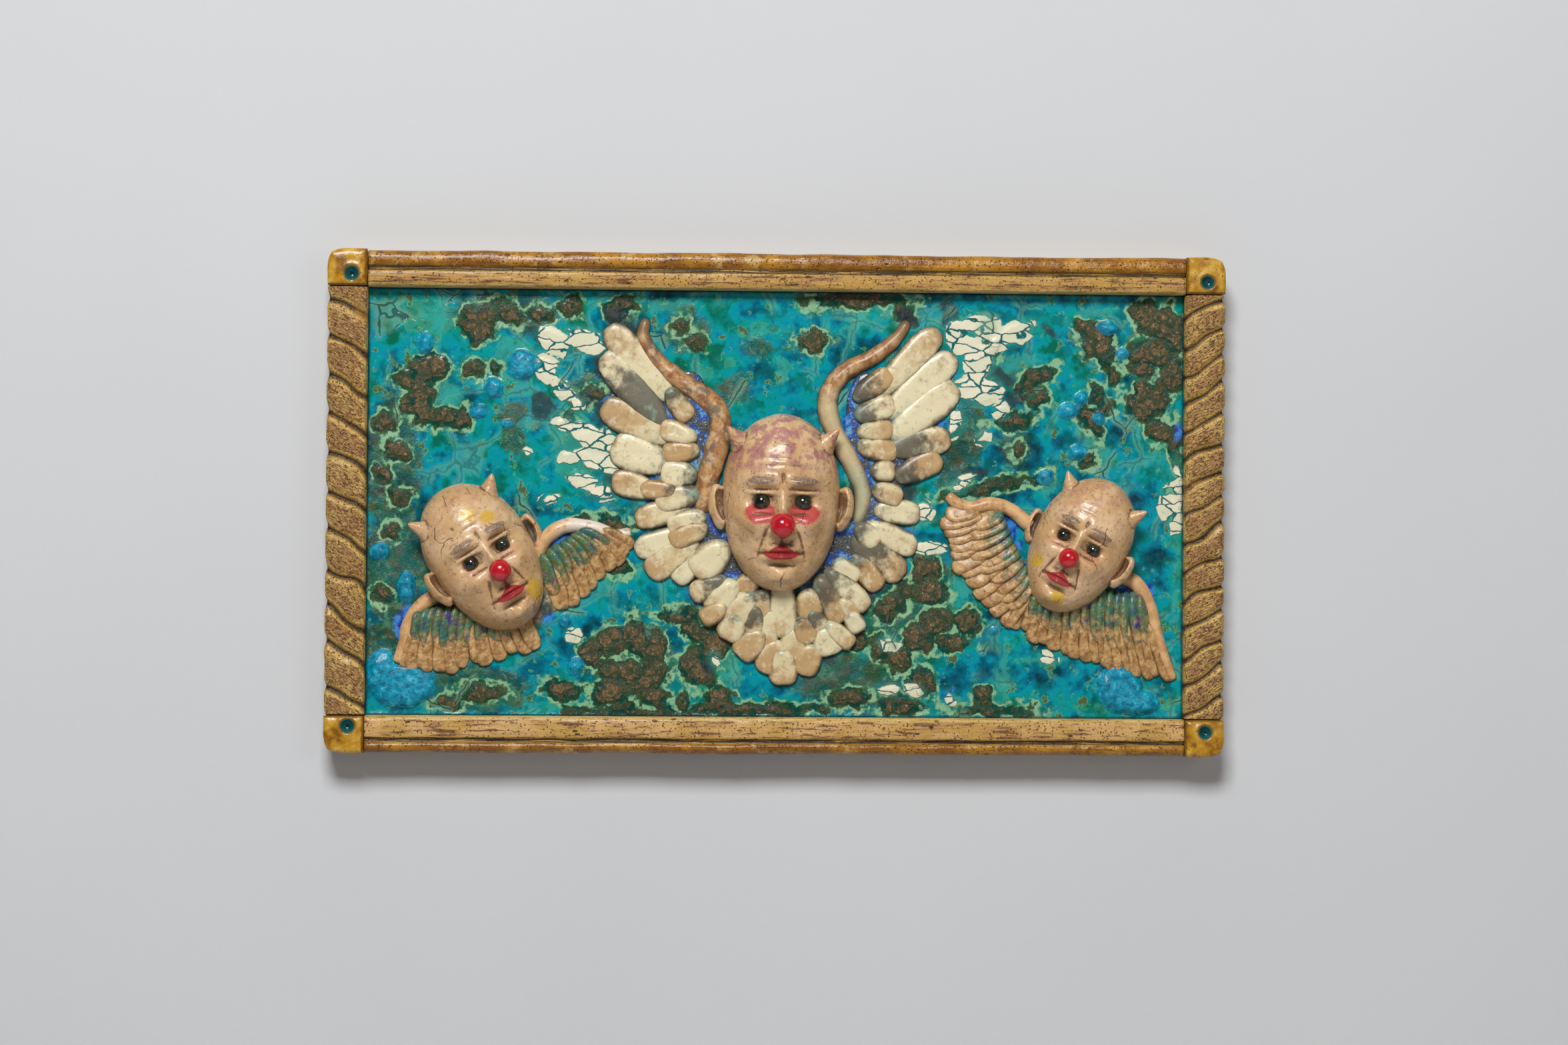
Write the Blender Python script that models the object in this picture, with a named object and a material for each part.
"""A framed ceramic wall tile with three winged imp heads in high relief.

A potter builds such a tile lying on the table: a clay slab, four rails and four corner blocks
luted round its rim, and heads, noses and wings modelled apart and set on the glazed ground.
The model is built the same way. In the table frame x runs across the tile, y up the tile and
z out of the wall, and one empty stands the finished tile up against the wall at y = 0.
Lengths are in metres.
"""

import math

import bmesh
import bpy
from mathutils import Matrix, Vector

# Driving sizes of the slab and its frame.
TILE_WIDTH = 0.500
TILE_HEIGHT = 0.279
SLAB_THICKNESS = 0.014
SLAB_INSET = 0.0010  # the slab's edge stands this far inside the frame's outer edge
SLAB_EDGE_CHAMFER = 0.0015
RAIL_RISE = 0.0115  # height of the top and bottom rails above the glazed ground
PLAIN_RAIL_WIDTH = 0.0210
ROPE_RAIL_WIDTH = 0.0225
ROPE_RAIL_RISE = 0.0110
BLOCK_RISE = 0.0120
CORNER_RADIUS = 0.0080
JOINT_GAP = 0.0003  # the thin joint left between neighbouring clay pieces

# The relief is drawn to fill a panel of this size, and is scaled to the panel the frame leaves.
# Where the panel is wider than that, the heads at the sides move outwards with the frame.
DRAWN_PANEL_WIDTH = 0.455
DRAWN_PANEL_HEIGHT = 0.237

panel_width = TILE_WIDTH - 2 * ROPE_RAIL_WIDTH
panel_height = TILE_HEIGHT - 2 * PLAIN_RAIL_WIDTH
relief_scale = min(panel_width / DRAWN_PANEL_WIDTH, panel_height / DRAWN_PANEL_HEIGHT)
spread = (panel_width - relief_scale * DRAWN_PANEL_WIDTH) / 2
ground = SLAB_THICKNESS  # height of the glazed ground above the wall
seat = ground + JOINT_GAP  # what is set on the ground starts here

OCHRE = (0.50, 0.33, 0.13)
WORN_OCHRE = (0.52, 0.36, 0.20)
TURQUOISE = (0.01, 0.28, 0.36)
BISQUE = (0.55, 0.36, 0.24)
CREAM = (0.62, 0.53, 0.40)
SCARLET = (0.60, 0.01, 0.02)
TERRACOTTA = (0.55, 0.32, 0.17)


def start_scene():
    for old in list(bpy.data.objects):
        bpy.data.objects.remove(old)
    made = {}
    for name in ("ceramic_wall_tile", "cutters"):
        made[name] = bpy.data.collections.new(name)
        bpy.context.scene.collection.children.link(made[name])
    easel = bpy.data.objects.new("stand_up", None)
    easel.rotation_euler = (math.radians(90), 0, 0)
    made["ceramic_wall_tile"].objects.link(easel)
    return made["ceramic_wall_tile"], made["cutters"], easel


tile_parts, cutters, easel = start_scene()


def glaze(name, colour, roughness):
    material = bpy.data.materials.new(name)
    material.use_nodes = True
    shader = material.node_tree.nodes["Principled BSDF"]
    shader.inputs["Base Color"].default_value = (*colour, 1)
    shader.inputs["Roughness"].default_value = roughness
    shader.inputs["Metallic"].default_value = 0
    return material


ochre_glaze = glaze("ochre_glaze", OCHRE, 0.25)
worn_ochre = glaze("worn_ochre", WORN_OCHRE, 0.45)
turquoise_glaze = glaze("turquoise_glaze", TURQUOISE, 0.15)
flesh_glaze = glaze("flesh_glaze", BISQUE, 0.30)
cream_slip = glaze("cream_slip", CREAM, 0.30)
scarlet_glaze = glaze("scarlet_glaze", SCARLET, 0.08)
terracotta_glaze = glaze("terracotta_glaze", TERRACOTTA, 0.40)


def piece(name, data, material, collection=tile_parts):
    """A named object in the table frame that stands up with the tile."""
    made = bpy.data.objects.new(name, data)
    made.parent = easel
    collection.objects.link(made)
    if material is not None:
        data.materials.append(material)
    return made


def mesh_from(bm, name, smooth_angle=None):
    bmesh.ops.recalc_face_normals(bm, faces=bm.faces)
    if bm.calc_volume(signed=True) < 0:
        bmesh.ops.reverse_faces(bm, faces=bm.faces)
    mesh = bpy.data.meshes.new(name)
    bm.to_mesh(mesh)
    bm.free()
    if smooth_angle is not None:
        mesh.shade_smooth()
        mesh.set_sharp_from_angle(angle=math.radians(smooth_angle))
    return mesh


def cutter(name, mesh, collection=cutters):
    made = piece(name, mesh, None, collection)
    made.hide_render = True
    made.display_type = "WIRE"
    return made


def cutter_group(name):
    group = bpy.data.collections.new(name)
    cutters.children.link(group)
    return group


def join_shapes(target, other, operation):
    """Adds or takes away one shape, or a whole group of shapes that overlap one another."""
    modifier = target.modifiers.new(f"{operation.lower()}_{other.name}", "BOOLEAN")
    modifier.operation = operation
    modifier.solver = "MANIFOLD"
    if isinstance(other, bpy.types.Collection):
        modifier.operand_type = "COLLECTION"
        modifier.collection = other
    else:
        modifier.object = other


def box_mesh(name, low, high):
    bm = bmesh.new()
    size = Vector(high) - Vector(low)
    place = Matrix.Translation((Vector(low) + Vector(high)) / 2) @ Matrix.Diagonal((*size, 1))
    bmesh.ops.create_cube(bm, size=1, matrix=place)
    return mesh_from(bm, name)


# Slab: rolled clay with rounded corners and a trimmed edge round its back.
def build_slab():
    half_width = TILE_WIDTH / 2 - SLAB_INSET
    half_height = TILE_HEIGHT / 2 - SLAB_INSET
    bm = bmesh.new()
    place = Matrix.Translation((0, 0, SLAB_THICKNESS / 2))
    place = place @ Matrix.Diagonal((2 * half_width, 2 * half_height, SLAB_THICKNESS, 1))
    bmesh.ops.create_cube(bm, size=1, matrix=place)
    uprights = [e for e in bm.edges if abs(e.verts[0].co.z - e.verts[1].co.z) > SLAB_THICKNESS / 2]
    bmesh.ops.bevel(
        bm, geom=uprights, offset=CORNER_RADIUS, segments=4, profile=0.5, affect="EDGES", material=-1
    )
    rim = [e for e in bm.edges if e.verts[0].co.z < 1e-6 and e.verts[1].co.z < 1e-6]
    bmesh.ops.bevel(
        bm, geom=rim, offset=SLAB_EDGE_CHAMFER, segments=1, profile=0.5, affect="EDGES", material=-1
    )
    piece("backing_slab", mesh_from(bm, "backing_slab"), turquoise_glaze)


# Top and bottom rails: a flat board with a scored groove and a rounded bead on its outer edge.
BOARD_SHARE = 0.62  # of the rail's width
GROOVE_WIDTH = 0.0022
GROOVE_DEPTH = 0.0022
INNER_EDGE_ROUND = 0.0018


def rail_outline():
    """Points across the rail, from its inner edge at 0 to its outer edge."""
    rise = RAIL_RISE - JOINT_GAP
    board = BOARD_SHARE * PLAIN_RAIL_WIDTH
    bead_radius = (PLAIN_RAIL_WIDTH - board - GROOVE_WIDTH) / 2
    bead_centre = (PLAIN_RAIL_WIDTH - bead_radius, rise - bead_radius)
    points = [(0, 0), (0, rise - INNER_EDGE_ROUND), (INNER_EDGE_ROUND, rise - 0.0003)]
    points += [(board - 0.0004, rise), (board + GROOVE_WIDTH / 2, rise - GROOVE_DEPTH)]
    for degrees in range(150, -31, -30):
        a = math.radians(degrees)
        points.append((bead_centre[0] + bead_radius * math.cos(a), bead_centre[1] + bead_radius * math.sin(a)))
    points.append((PLAIN_RAIL_WIDTH - SLAB_INSET, 0))
    return points


def build_plain_rail(name, side):
    """side is 1 for the top rail and -1 for the bottom rail."""
    curve = bpy.data.curves.new(name, "CURVE")
    curve.dimensions = "2D"
    curve.fill_mode = "BOTH"
    curve.extrude = TILE_WIDTH / 2 - ROPE_RAIL_WIDTH - JOINT_GAP
    outline = rail_outline()
    spline = curve.splines.new("POLY")
    spline.points.add(len(outline) - 1)
    for point, (across, up) in zip(spline.points, outline):
        point.co = (across, up, 0, 1)
    spline.use_cyclic_u = True
    rail = piece(name, curve, ochre_glaze)
    # The outline's own x runs outwards across the rail, its y out of the wall.
    turned = Matrix(((0, 0, side), (side, 0, 0), (0, 1, 0)))
    rail.rotation_euler = turned.to_euler()
    rail.location = (0, side * (TILE_HEIGHT / 2 - PLAIN_RAIL_WIDTH), seat)


# Side rails: a clay bar pressed with slanting grooves, so that it looks like rope.
LEFT_ROPE_LOBES = 11
RIGHT_ROPE_LOBES = 15
LEFT_ROPE_SLOPE = -0.62  # rise of a groove for each unit across the rail
RIGHT_ROPE_SLOPE = 0.50
ROPE_GROOVE_SHARE = 0.30  # of the rail's rise
ROPE_BULGE = 0.0010  # how far each lobe swells past the rail's outer edge
ROPE_CUTS_PER_LOBE = 3


def build_rope_rail(name, side, lobes, slope):
    """side is -1 for the left rail and 1 for the right rail."""
    half_length = TILE_HEIGHT / 2 - PLAIN_RAIL_WIDTH - JOINT_GAP
    inner, outer = TILE_WIDTH / 2 - ROPE_RAIL_WIDTH, TILE_WIDTH / 2 - ROPE_BULGE
    rise = ROPE_RAIL_RISE - JOINT_GAP
    middle, half_width = side * (inner + outer) / 2, (outer - inner) / 2
    pitch = 2 * half_length / lobes
    bm = bmesh.new()
    place = Matrix.Translation((middle, 0, seat + rise / 2))
    place = place @ Matrix.Diagonal((2 * half_width, 2 * half_length, rise, 1))
    bmesh.ops.create_cube(bm, size=1, matrix=place)

    def cut(point, normal):
        geom = bm.verts[:] + bm.edges[:] + bm.faces[:]
        bmesh.ops.bisect_plane(bm, geom=geom, dist=1e-6, plane_co=point, plane_no=normal)

    for share in (-0.62, 0.62):
        cut((middle + share * half_width, 0, 0), (1, 0, 0))
    reach = half_length + abs(slope) * half_width
    steps = int(reach / pitch * ROPE_CUTS_PER_LOBE)
    for i in range(-steps, steps + 1):
        cut((middle, (i / ROPE_CUTS_PER_LOBE + 0.5) * pitch, 0), (-slope, 1, 0))
    for v in bm.verts:
        phase = (v.co.y - slope * (v.co.x - middle)) / pitch
        crest = abs(math.cos(math.pi * phase)) ** 0.7
        across = (v.co.x - middle) / half_width
        if v.co.z > seat + rise / 2:
            rounding = 1 - 0.30 * abs(across) ** 3
            v.co.z = seat + rise * (1 - ROPE_GROOVE_SHARE + ROPE_GROOVE_SHARE * crest) * rounding
            if across * side > 0.9:
                v.co.x += side * ROPE_BULGE * crest
    underside = [f for f in bm.faces if all(v.co.z < seat + rise / 2 for v in f.verts)]
    bmesh.ops.dissolve_faces(bm, faces=underside)
    return piece(name, mesh_from(bm, name), worn_ochre)


# Corner blocks: small clay cushions, each with a round dent that holds a drop of dark glaze.
DENT_DIAMETER = 0.0085
DENT_DEPTH = 0.0028
BLOCK_EDGE_ROUND = 0.0020


def build_corner_block(side_x, side_y):
    words = {-1: "left", 1: "right"}[side_x], {-1: "bottom", 1: "top"}[side_y]
    name = f"corner_block_{words[1]}_{words[0]}"
    width, height = ROPE_RAIL_WIDTH - JOINT_GAP, PLAIN_RAIL_WIDTH - JOINT_GAP
    rise = BLOCK_RISE - JOINT_GAP
    centre = Vector((side_x * (TILE_WIDTH - width) / 2, side_y * (TILE_HEIGHT - height) / 2, seat + rise / 2))
    bm = bmesh.new()
    place = Matrix.Translation(centre) @ Matrix.Diagonal((width, height, rise, 1))
    bmesh.ops.create_cube(bm, size=1, matrix=place)
    outer = [
        e
        for e in bm.edges
        if all((v.co.x - centre.x) * side_x > 0 and (v.co.y - centre.y) * side_y > 0 for v in e.verts)
    ]
    bmesh.ops.bevel(
        bm, geom=outer, offset=CORNER_RADIUS, segments=2, profile=0.5, affect="EDGES", material=-1
    )
    top = [e for e in bm.edges if all(v.co.z > centre.z + rise * 0.4 for v in e.verts)]
    bmesh.ops.bevel(
        bm, geom=top, offset=BLOCK_EDGE_ROUND, segments=1, profile=0.5, affect="EDGES", material=-1
    )
    block = piece(name, mesh_from(bm, name, 40), ochre_glaze)
    radius = DENT_DIAMETER / 2
    ball = (radius**2 + DENT_DEPTH**2) / (2 * DENT_DEPTH)
    bm = bmesh.new()
    place = Matrix.Translation((centre.x, centre.y, seat + rise - DENT_DEPTH + ball))
    bmesh.ops.create_uvsphere(bm, u_segments=10, v_segments=8, radius=ball, matrix=place)
    dent = cutter(f"dent_{words[1]}_{words[0]}", mesh_from(bm, "dent"))
    join_shapes(block, dent, "DIFFERENCE")


# Heads. A head is an egg with modelled features, two ears and two short horns. Its carving is
# in shares of its own height, with the eye line at 0, the chin at -0.5 and the crown at 0.5,
# and its rings lie where the features need them.
RING_LEVELS = (0.5, 0.465, 0.40, 0.29, 0.17, 0.105, 0.05, 0.0, -0.05)
RING_LEVELS += (-0.11, -0.17, -0.225, -0.265, -0.305, -0.35, -0.41, -0.46, -0.5)
HEAD_MERIDIANS = 20
HALF_BREADTH = 0.33
FACE_DEPTH = 0.27
BACK_DEPTH = 0.30
WIDEST_AT = 0.08


def bump(x, y, at_x, at_y, size_x, size_y):
    return math.exp(-(((x - at_x) / size_x) ** 2) - ((y - at_y) / size_y) ** 2)


def features(x, y):
    """How far the face's features stand out from the plain egg."""
    s = abs(x)
    stands = 0.034 * bump(s, y, 0.120, 0.105, 0.090, 0.030)  # brow
    stands -= 0.078 * bump(s, y, 0.115, 0.000, 0.072, 0.055)  # eye socket
    stands += 0.066 * bump(s, y, 0.115, 0.000, 0.045, 0.034)  # eye
    stands += 0.050 * bump(s, y, 0.000, -0.050, 0.034, 0.090)  # bridge of the nose
    stands += 0.030 * bump(s, y, 0.045, -0.170, 0.030, 0.025)  # nostril
    stands += 0.036 * bump(s, y, 0.170, -0.125, 0.070, 0.060)  # cheek
    stands += 0.052 * bump(s, y, 0.000, -0.285, 0.095, 0.034)  # lips
    stands += 0.044 * bump(s, y, 0.000, -0.430, 0.080, 0.045)  # chin
    stands -= 0.024 * bump(s, y, 0.000, -0.352, 0.080, 0.020)  # hollow under the lips
    return stands


def half_breadth(y):
    if y > WIDEST_AT:
        return HALF_BREADTH * math.sqrt(max(0, 1 - ((y - WIDEST_AT) / (0.5 - WIDEST_AT)) ** 2))
    return HALF_BREADTH * math.sqrt(max(0, 1 - ((WIDEST_AT - y) / (0.5 + WIDEST_AT)) ** 2.3))


def egg_shape(height, grown):
    """The head's own form, with every face moved outwards by the length grown."""
    bm = bmesh.new()
    spaces = len(RING_LEVELS) - 1
    bmesh.ops.create_uvsphere(bm, u_segments=HEAD_MERIDIANS, v_segments=spaces, radius=1)
    for v in bm.verts:
        polar = math.acos(max(-1, min(1, v.co.z))) / math.pi
        around = math.atan2(v.co.x, -v.co.y)
        around -= 0.42 * math.sin(around)  # more meridians on the face than behind
        y = RING_LEVELS[round(polar * spaces)]
        breadth = half_breadth(y)
        depth = FACE_DEPTH if abs(around) < math.pi / 2 else BACK_DEPTH
        x = breadth * math.sin(around)
        z = depth * (breadth / HALF_BREADTH) ** 0.8 * math.cos(around)
        z += features(x, y) * max(0, math.cos(around)) ** 0.5
        point = Vector((x, y, z))
        v.co = point * height + point.normalized() * grown
    return bm


EAR_HALF = (0.058, 0.135, 0.052)  # half its width, height and thickness
EAR_PLACE = (0.350, -0.035, 0.020)
EAR_FLARE = 28
EAR_LEAN = 10
EAR_HOLLOW = 0.060


def ear_shape(height, grown, side):
    bm = bmesh.new()
    bmesh.ops.create_uvsphere(bm, u_segments=9, v_segments=6, radius=1)
    flare = Matrix.Rotation(math.radians(-EAR_FLARE * side), 4, "Y")
    flare = flare @ Matrix.Rotation(math.radians(-EAR_LEAN * side), 4, "Z")
    half = [share * height + grown for share in EAR_HALF]
    for v in bm.verts:
        off_centre = math.hypot(v.co.x, v.co.y)
        place = Vector((v.co.x * half[0], v.co.y * half[1], v.co.z * half[2]))
        if v.co.z > 0 and not grown:
            place.z -= EAR_HOLLOW * height * max(0, 1 - (off_centre / 0.75) ** 2)
        v.co = flare @ place + Vector((side * EAR_PLACE[0], EAR_PLACE[1], EAR_PLACE[2])) * height
    return bm


HORN_RADIUS = 0.078
HORN_TIP_RADIUS = 0.016
HORN_LENGTH = 0.150
HORN_PLACE = (0.235, 0.330, 0.075)
HORN_AIM = (0.62, 0.62, 0.36)


def horn_shape(height, grown, side):
    aim = Vector((HORN_AIM[0] * side, HORN_AIM[1], HORN_AIM[2])).normalized()
    place = Vector((side * HORN_PLACE[0], HORN_PLACE[1], HORN_PLACE[2])) * height
    length = HORN_LENGTH * height + 2 * grown
    turn = aim.to_track_quat("Z", "Y").to_matrix().to_4x4()
    bm = bmesh.new()
    bmesh.ops.create_cone(
        bm,
        cap_ends=True,
        segments=8,
        radius1=HORN_RADIUS * height + grown,
        radius2=HORN_TIP_RADIUS * height + grown,
        depth=length,
        matrix=Matrix.Translation(place + aim * length * 0.30) @ turn,
    )
    return bm


NOSE_PLACE = (0, -0.135, 0.312)
NOSE_RADIUS = 0.072


def nose_shape(radius):
    bm = bmesh.new()
    bmesh.ops.create_uvsphere(bm, u_segments=12, v_segments=7, radius=radius)
    return bm


HEAD_LIFT = 0.0045  # of the middle of a head above the ground


def build_head(word, at, height, tilt, turn, aside):
    """Sets a head and its nose on the ground, and returns the room that the head takes up."""
    height *= relief_scale
    place = Vector((at[0], at[1], HEAD_LIFT)) * relief_scale + Vector((aside, 0, ground))
    pose = Matrix.Translation(place)
    pose = pose @ Matrix.Rotation(math.radians(tilt), 4, "Z") @ Matrix.Rotation(math.radians(turn), 4, "Y")

    def add_ears_and_horns(group, grown):
        for side, hand in ((-1, "left"), (1, "right")):
            for shape, of_what in ((ear_shape, "ear"), (horn_shape, "horn")):
                name = f"{group.name}_{hand}_{of_what}"
                cutter(name, mesh_from(shape(height, grown, side), name), group).matrix_local = pose

    head = piece(f"{word}_imp_head", mesh_from(egg_shape(height, 0), f"{word}_imp_head", 50), flesh_glaze)
    head.matrix_local = pose
    ears_and_horns = cutter_group(f"{word}_head")
    add_ears_and_horns(ears_and_horns, 0)
    room = cutter_group(f"{word}_head_room")
    name = f"{word}_head_room_egg"
    cutter(name, mesh_from(egg_shape(height, 2 * JOINT_GAP), name), room).matrix_local = pose
    add_ears_and_horns(room, 2 * JOINT_GAP)

    nose_pose = pose @ Matrix.Translation(Vector(NOSE_PLACE) * height)
    radius = NOSE_RADIUS * height
    nose = piece(f"{word}_imp_nose", mesh_from(nose_shape(radius), f"{word}_imp_nose", 60), scarlet_glaze)
    nose.matrix_local = nose_pose
    socket = cutter(f"{word}_nose_socket", mesh_from(nose_shape(radius + JOINT_GAP), f"{word}_nose_socket"))
    socket.matrix_local = nose_pose
    join_shapes(head, ears_and_horns, "UNION")
    join_shapes(head, below_ground, "DIFFERENCE")
    join_shapes(head, socket, "DIFFERENCE")
    return room


# Wings. A row of feathers is told by its first, middle and last feather, each as root x, root y,
# tip x, tip y and width in drawn millimetres from the tile's centre, and a curve runs between them.
MM = 0.001
BONE_LIFT = 0.35  # of a bone's middle above the ground, in shares of its radius
PAD_RISE = 0.0030  # of the clay that carries the feathers of a wing
FEATHER_STEP = 0.0004  # every other feather stands this much higher
FEATHER_SIDES = 6
FEATHER_RINGS = 4
FEATHER_BLUNTNESS = 0.55
FEATHER_FULLNESS = 0.40
FEATHER_FLARE = 0.10
SEAM_ANGLE = 16  # flatter seams than this are smoothed away, in degrees


def between(first, middle, last, t):
    """The point at t on the parabola through three points at 0, 0.5 and 1."""
    shares = (1 - t) * (1 - 2 * t), 4 * t * (1 - t), t * (2 * t - 1)
    return [shares[0] * a + shares[1] * b + shares[2] * c for a, b, c in zip(first, middle, last)]


def feather_shape(root, tip, width, rise):
    """A pressed pellet of clay, blunt at its tip and a little narrower at its root."""
    bm = bmesh.new()
    bmesh.ops.create_uvsphere(bm, u_segments=FEATHER_SIDES, v_segments=FEATHER_RINGS, radius=1)
    along = (tip - root).normalized()
    across = Vector((-along.y, along.x))
    half_length = (tip - root).length / 2
    middle = (tip + root) / 2
    for v in bm.verts:
        t = math.copysign(abs(v.co.z) ** FEATHER_BLUNTNESS, v.co.z)
        fullness = (1 + FEATHER_FLARE * t) * max(0.1, math.hypot(v.co.x, v.co.y)) ** -FEATHER_FULLNESS
        flat = middle + along * half_length * t + across * width / 2 * v.co.x * fullness
        v.co = (flat.x, flat.y, ground + rise * v.co.y * fullness)
    return bm


def add_row(group, aside, count, first, middle, last, rise):
    for i in range(count):
        x0, y0, x1, y1, width = (
            value * MM * relief_scale for value in between(first, middle, last, i / max(1, count - 1))
        )
        height = (rise + FEATHER_STEP * (i % 2)) * relief_scale
        shape = feather_shape(Vector((x0 + aside, y0)), Vector((x1 + aside, y1)), width, height)
        name = f"{group.name}_{len(group.objects) + 1}"
        cutter(name, mesh_from(shape, name), group)


def wing_bone(name, points, radii, aside):
    """The wing's leading edge, a rolled coil of clay, as a closed mesh."""
    curve = bpy.data.curves.new(name, "CURVE")
    curve.dimensions = "3D"
    curve.bevel_depth = 1
    curve.bevel_resolution = 1
    curve.use_fill_caps = True
    curve.resolution_u = 2
    spline = curve.splines.new("BEZIER")
    spline.bezier_points.add(len(points) - 1)
    for i, (node, (x, y)) in enumerate(zip(spline.bezier_points, points)):
        share = i / (len(points) - 1)
        radius = between(radii[:1], radii[1:2], radii[2:], share)[0]
        node.co = Vector((x, y, radius * BONE_LIFT)) * MM * relief_scale + Vector((aside, 0, ground))
        node.handle_left_type = node.handle_right_type = "AUTO"
        node.radius = radius * MM * relief_scale
    guide = bpy.data.objects.new(name, curve)
    cutters.objects.link(guide)
    bpy.context.view_layer.update()
    mesh = bpy.data.meshes.new_from_object(guide.evaluated_get(bpy.context.evaluated_depsgraph_get()))
    bpy.data.objects.remove(guide)
    bm = bmesh.new()
    bm.from_mesh(mesh)
    bmesh.ops.remove_doubles(bm, verts=bm.verts, dist=1e-5)
    return mesh_from(bm, name, 50)


def build_wings(name, bones, pads, rows, room, material, aside):
    """One piece of clay: two bones, the low pads between them and every feather."""
    first, second = (wing_bone(f"{name}_bone", points, radii, aside) for points, radii in bones)
    wing = piece(name, first, material)
    group = cutter_group(f"{name}_feather")
    for pad in pads:
        add_row(group, aside, 1, pad, pad, pad, PAD_RISE)
    for row in rows:
        add_row(group, aside, *row)
    cutter(f"{name}_second_bone", second, group)
    join_shapes(wing, group, "UNION")
    smoother = wing.modifiers.new("smooth_seams", "DECIMATE")
    smoother.decimate_type = "DISSOLVE"
    smoother.angle_limit = math.radians(SEAM_ANGLE)
    join_shapes(wing, below_ground, "DIFFERENCE")
    join_shapes(wing, room, "DIFFERENCE")


build_slab()
build_plain_rail("rail_top", 1)
build_plain_rail("rail_bottom", -1)
build_rope_rail("rope_rail_left", -1, LEFT_ROPE_LOBES, LEFT_ROPE_SLOPE)
build_rope_rail("rope_rail_right", 1, RIGHT_ROPE_LOBES, RIGHT_ROPE_SLOPE)
for side_x in (-1, 1):
    for side_y in (-1, 1):
        build_corner_block(side_x, side_y)

# Everything under the seat of the relief is cut away by this block.
below_ground = cutter(
    "below_ground",
    box_mesh("below_ground", (-TILE_WIDTH, -TILE_HEIGHT, seat - 0.2), (TILE_WIDTH, TILE_HEIGHT, seat)),
)

center_room = build_head("center", (0.0020, 0.0005), 0.0990, -1, 0, 0)
left_room = build_head("left", (-0.1630, -0.0310), 0.0880, 32, 10, -spread)
right_room = build_head("right", (0.1690, -0.0220), 0.0800, -28, -10, spread)

center_bones = [
    (
        [(-73, 103), (-75, 92), (-66, 78), (-52, 67), (-37, 56), (-31, 46), (-34, 30), (-39, 12), (-42, -6)],
        (2.4, 4.6, 4.0),
    ),
    (
        [(73, 103), (66, 93), (54, 83), (39, 75), (30, 65), (28, 53), (34, 38), (43, 22), (48, 5), (45, -10)],
        (2.4, 4.4, 3.6),
    ),
]
center_left_rows = [
    (5, (-48, 57, -95, 99, 14), (-50, 37, -99, 55, 15), (-50, 13, -92, 11, 12), 0.0056),
    (5, (-37, 50, -61, 62, 11), (-38, 30, -66, 29, 12), (-40, 4, -69, 1, 12), 0.0084),
    (6, (-44, 1, -79, -11, 13), (-35, -24, -62, -45, 13), (-15, -49, -31, -76, 13), 0.0060),
    (5, (-37, -7, -60, -14, 12), (-28, -25, -47, -39, 13), (-14, -43, -28, -61, 12), 0.0090),
]
center_right_rows = [
    (5, (47, 57, 90, 99, 14), (50, 38, 102, 65, 15), (53, 17, 92, 27, 12), 0.0056),
    (6, (35, 59, 64, 75, 12), (37, 33, 67, 30, 13), (46, -1, 81, -7, 12), 0.0084),
    (5, (45, -10, 78, -25, 12), (36, -29, 61, -48, 13), (20, -44, 40, -67, 13), 0.0060),
    (4, (39, -14, 60, -22, 12), (32, -28, 52, -40, 12), (22, -38, 35, -58, 11), 0.0090),
]
ruff_rows = [
    (3, (-9, -44, -10, -65, 13), (4, -44, 4, -74, 13), (17, -44, 19, -63, 13), 0.0100),
    (5, (-12, -52, -15, -75, 12), (4, -56, 5, -82, 13), (17, -50, 26, -70, 12), 0.0078),
    (5, (-12, -64, -23, -84, 12), (4, -70, 5, -93, 13), (19, -62, 40, -80, 12), 0.0060),
    (3, (0, -80, -3, -97, 13), (5, -82, 5, -101, 13), (10, -78, 15, -95, 13), 0.0048),
]
center_rows = center_left_rows + center_right_rows + ruff_rows
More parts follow.
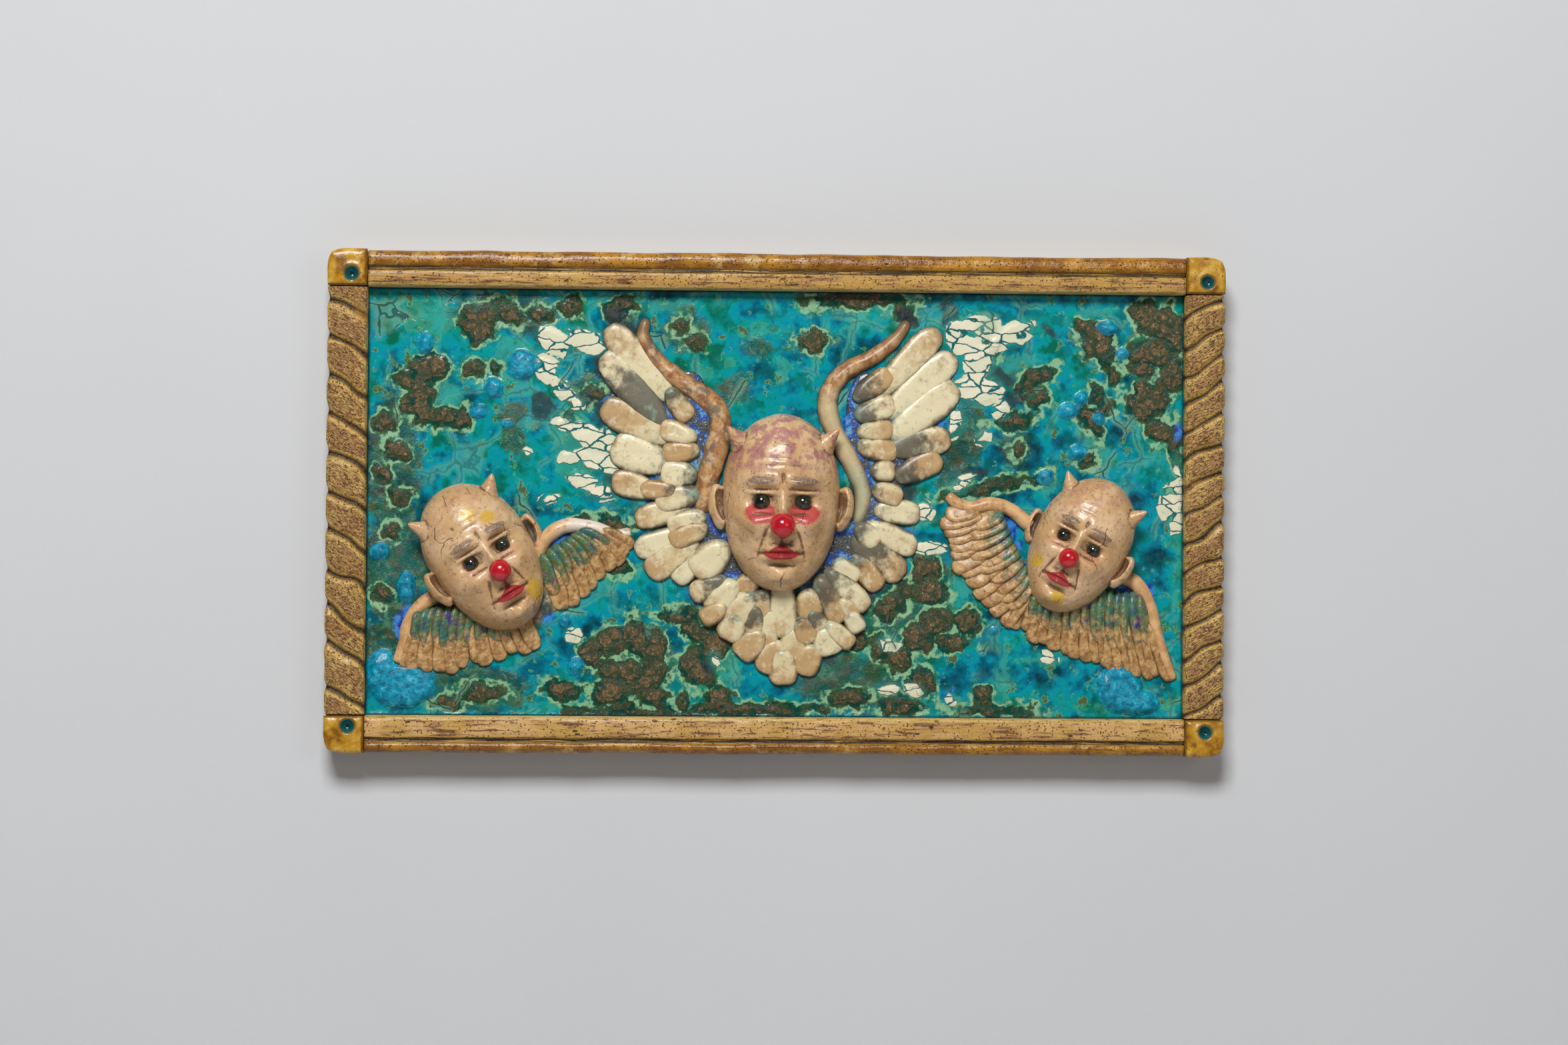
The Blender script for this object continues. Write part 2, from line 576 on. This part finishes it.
center_pads = [(-52, 76, -52, 4, 34), (-50, 10, -16, -62, 32), (52, 76, 58, 0, 34), (56, 4, 18, -60, 32)]
build_wings("center_imp_wings", center_bones, center_pads, center_rows, center_room, cream_slip, 0)

left_bones = [
    ([(-136, -34), (-128, -20), (-117, -13), (-102, -14), (-90, -18), (-81, -16)], (4.4, 4.2, 3.0)),
    ([(-182, -48), (-197, -58), (-204, -70), (-206, -80), (-210, -90)], (4.2, 4.4, 3.4)),
]
left_rows = [
    (5, (-102, -15, -80, -27, 11), (-112, -20, -97, -42, 12), (-129, -33, -121, -61, 12), 0.0056),
    (4, (-112, -15, -93, -25, 11), (-119, -20, -109, -38, 11), (-132, -28, -124, -50, 11), 0.0080),
    (7, (-196, -66, -203, -93, 12), (-172, -60, -173, -93, 13), (-142, -54, -131, -79, 12), 0.0056),
    (5, (-195, -58, -196, -81, 13), (-172, -54, -174, -81, 14), (-144, -50, -139, -72, 13), 0.0080),
]
left_pads = [(-96, -18, -136, -62, 22), (-206, -70, -128, -60, 26)]
build_wings("left_imp_wings", left_bones, left_pads, left_rows, left_room, terracotta_glaze, -spread)

right_bones = [
    ([(142, -12), (132, -3), (120, 1), (109, -1), (101, 1), (95, 6)], (4.4, 4.0, 3.0)),
    ([(186, -38), (200, -42), (208, -54), (212, -68), (217, -84), (223, -97)], (4.2, 4.2, 2.6)),
]
right_rows = [
    (6, (116, -4, 92, -5, 12), (128, -20, 100, -34, 13), (144, -46, 126, -67, 12), 0.0056),
    (4, (129, -5, 108, -12, 13), (137, -24, 113, -34, 14), (146, -42, 132, -58, 12), 0.0080),
    (8, (146, -50, 140, -70, 12), (179, -54, 178, -87, 12), (209, -60, 219, -97, 11), 0.0056),
    (5, (152, -46, 150, -66, 13), (176, -44, 176, -75, 14), (204, -46, 211, -82, 13), 0.0080),
]
right_pads = [(110, 2, 140, -62, 24), (138, -60, 214, -72, 26)]
build_wings("right_imp_wings", right_bones, right_pads, right_rows, right_room, terracotta_glaze, spread)
